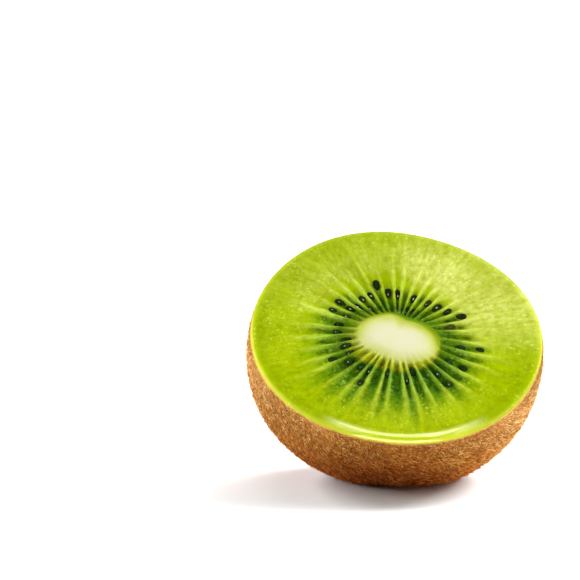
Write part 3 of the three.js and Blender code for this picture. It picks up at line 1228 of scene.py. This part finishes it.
def make_dry_end(material):
    """The dry stub and withered flower parts in the low ring at the blossom end."""
    bm = bmesh.new()
    add_stub(bm)
    for k in range(WITHERED_COUNT):
        add_withered(bm, k)
    mesh = bpy.data.meshes.new("dry_end")
    bmesh.ops.recalc_face_normals(bm, faces=bm.faces)
    bm.to_mesh(mesh)
    bm.free()
    put(mesh, stand(points_of(mesh)))
    return piece("dry_end", mesh, material)


def dry_material():
    s = Shader("withered dark brown")
    tone = s.effect(PATCHY_TONE, Broad_scale=500.0, Fine_scale=1800.0, Fine_share=0.6)
    base = s.ramp(tone, [(0.35, tint(46, 28, 14)), (0.65, tint(112, 76, 42))])
    s.set(Base_Color=base, Roughness=0.85, Normal=s.bump(tone, 0.0002))
    return s.material


# ---- Studio ----

CAMERA_ELEVATION = 10.0
CAMERA_DISTANCE = 620.0
PIXELS_PER_MM = 5.95
FRAME_PIXELS = 580
SENSOR_WIDTH = 36.0
AIM_FROM_FACE = (-17.881, -0.270, 8.105)

# Large soft lights: strength, azimuth, elevation and spread. The floor is lit by its own lamps
# in place of the side lights.
SIDE_LIGHTS = {
    "left softbox": (0.82, -75, 12, 40),
    "right softbox": (0.88, 78, 14, 40),
}
BACK_LIGHTS = {
    "left edge softbox": (1.1, -110, 12, 30),
    "right edge softbox": (0.36, 112, 14, 30),
    "high softbox": (0.86, 142, 46, 36),
    "overhead softbox": (0.42, 180, 62, 36),
}
FLOOR_LAMPS = {
    "floor lamp right": (2.3, 129, 27, 24),
    "floor lamp left": (1.2, -135, 27, 24),
}
PANEL_LIGHT = (1.0, 1.0, 0.84)
WORLD_LIGHT = 0.12
FLOOR_HALF = 6.0
FLOOR_TONES = [(0.75, 0.75, 0.75, 1), (0.77, 0.77, 0.77, 1)]


def towards(azimuth, elevation):
    """The direction to the camera or a light: azimuth 0 is the front, 90 the viewer's right."""
    a = math.radians(azimuth)
    e = math.radians(elevation)
    return Vector((math.sin(a) * math.cos(e), -math.cos(a) * math.cos(e), math.sin(e)))


def facing(way):
    """The turn of a light that stands in a direction and shines back from it."""
    return Vector(way).to_track_quat("Z", "Y").to_euler()


def make_camera():
    data = bpy.data.cameras.new("camera")
    camera = add("camera", data)
    aim = Vector(FACE_CENTRE) + Vector(AIM_FROM_FACE)
    camera.location = (aim + towards(0, CAMERA_ELEVATION) * CAMERA_DISTANCE) * MM
    camera.rotation_euler = (math.radians(90 - CAMERA_ELEVATION), 0, 0)
    data.sensor_width = SENSOR_WIDTH
    data.lens = PIXELS_PER_MM * CAMERA_DISTANCE / FRAME_PIXELS * SENSOR_WIDTH
    data.clip_start = 0.01
    data.clip_end = 50
    bpy.context.scene.camera = camera


def make_sun(name, strength, azimuth, elevation, spread):
    """A large soft light far away, which wet surfaces don't mirror."""
    data = bpy.data.lights.new(name, "SUN")
    data.energy = strength * math.pi
    data.angle = math.radians(spread)
    light = add(name, data)
    light.rotation_euler = facing(towards(azimuth, elevation))
    light.visible_glossy = False
    return light


def light_floor(floor, state, lights):
    """Keeps lights off the floor with "EXCLUDE", or gives them to it alone with "INCLUDE"."""
    reach = bpy.data.collections.new("floor " + state.lower())
    reach.objects.link(floor)
    reach.collection_objects[0].light_linking.link_state = state
    for light in lights:
        light.light_linking.receiver_collection = reach


def make_soft_lights(floor):
    sides = [make_sun(name, *light) for name, light in SIDE_LIGHTS.items()]
    light_floor(floor, "EXCLUDE", sides)
    for name, light in BACK_LIGHTS.items():
        make_sun(name, *light)
    lamps = [make_sun(name, *light) for name, light in FLOOR_LAMPS.items()]
    light_floor(floor, "INCLUDE", lamps)


def make_panel(name, glow, size, centre, out, shown_in):
    """A softbox that shows in one wet piece and lights nothing else. Its place is as it stands."""
    width, height = size
    data = bpy.data.lights.new(name, "AREA")
    data.shape = "RECTANGLE"
    data.size = width * MM
    data.size_y = height * MM
    data.energy = glow * math.pi * data.size * data.size_y
    data.color = PANEL_LIGHT
    light = add(name, data)
    light.location = Vector(centre) * MM
    light.rotation_euler = facing(out)
    light.visible_camera = False
    light.visible_diffuse = False
    light.visible_transmission = False
    light.visible_volume_scatter = False
    reach = bpy.data.collections.new(name)
    reach.objects.link(shown_in)
    light.light_linking.receiver_collection = reach


def make_panels(flesh, seeds):
    front = towards(8, 36)
    side = towards(19, 34)
    key = towards(-6, 47)
    make_panel("front panel", 11.0, (590, 560), front * 1000, front, flesh)
    make_panel("side panel", 7.0, (100, 1000), side * 990, side, flesh)
    make_panel("reflector", 10.0, (27, 18), (0.0, -36, 0.3), (0, 0, -1), flesh)
    make_panel("seed panel", 16.0, (300, 300), key * 1000, key, seeds)


def make_floor():
    bm = bmesh.new()
    bmesh.ops.create_grid(bm, x_segments=1, y_segments=1, size=FLOOR_HALF)
    mesh = bpy.data.meshes.new("floor")
    bm.to_mesh(mesh)
    bm.free()
    floor = add("floor", mesh)
    s = Shader("white floor")
    faint = s.noise(s.place(), 3.0)
    s.set(Base_Color=s.mix(faint, *FLOOR_TONES), Roughness=0.9, Specular_IOR_Level=0.0)
    mesh.materials.append(s.material)
    floor.visible_glossy = False
    return floor


def make_world():
    world = bpy.data.worlds.new("studio")
    bpy.context.scene.world = world
    world.use_nodes = True
    background = world.node_tree.nodes["Background"]
    background.inputs["Color"].default_value = (1, 1, 1, 1)
    background.inputs["Strength"].default_value = WORLD_LIGHT
    world.cycles_visibility.glossy = False


flesh = make_flesh(flesh_material())
seeds = make_seeds(seed_material())
make_skin(skin_material())
hair = hair_material()
make_hairs("fine_hairs", hair, FINE_HAIRS)
make_hairs("long_hairs", hair, LONG_HAIRS)
make_dry_end(dry_material())
make_camera()
floor = make_floor()
make_world()
make_soft_lights(floor)
make_panels(flesh, seeds)
bpy.context.scene.view_settings.view_transform = "Standard"
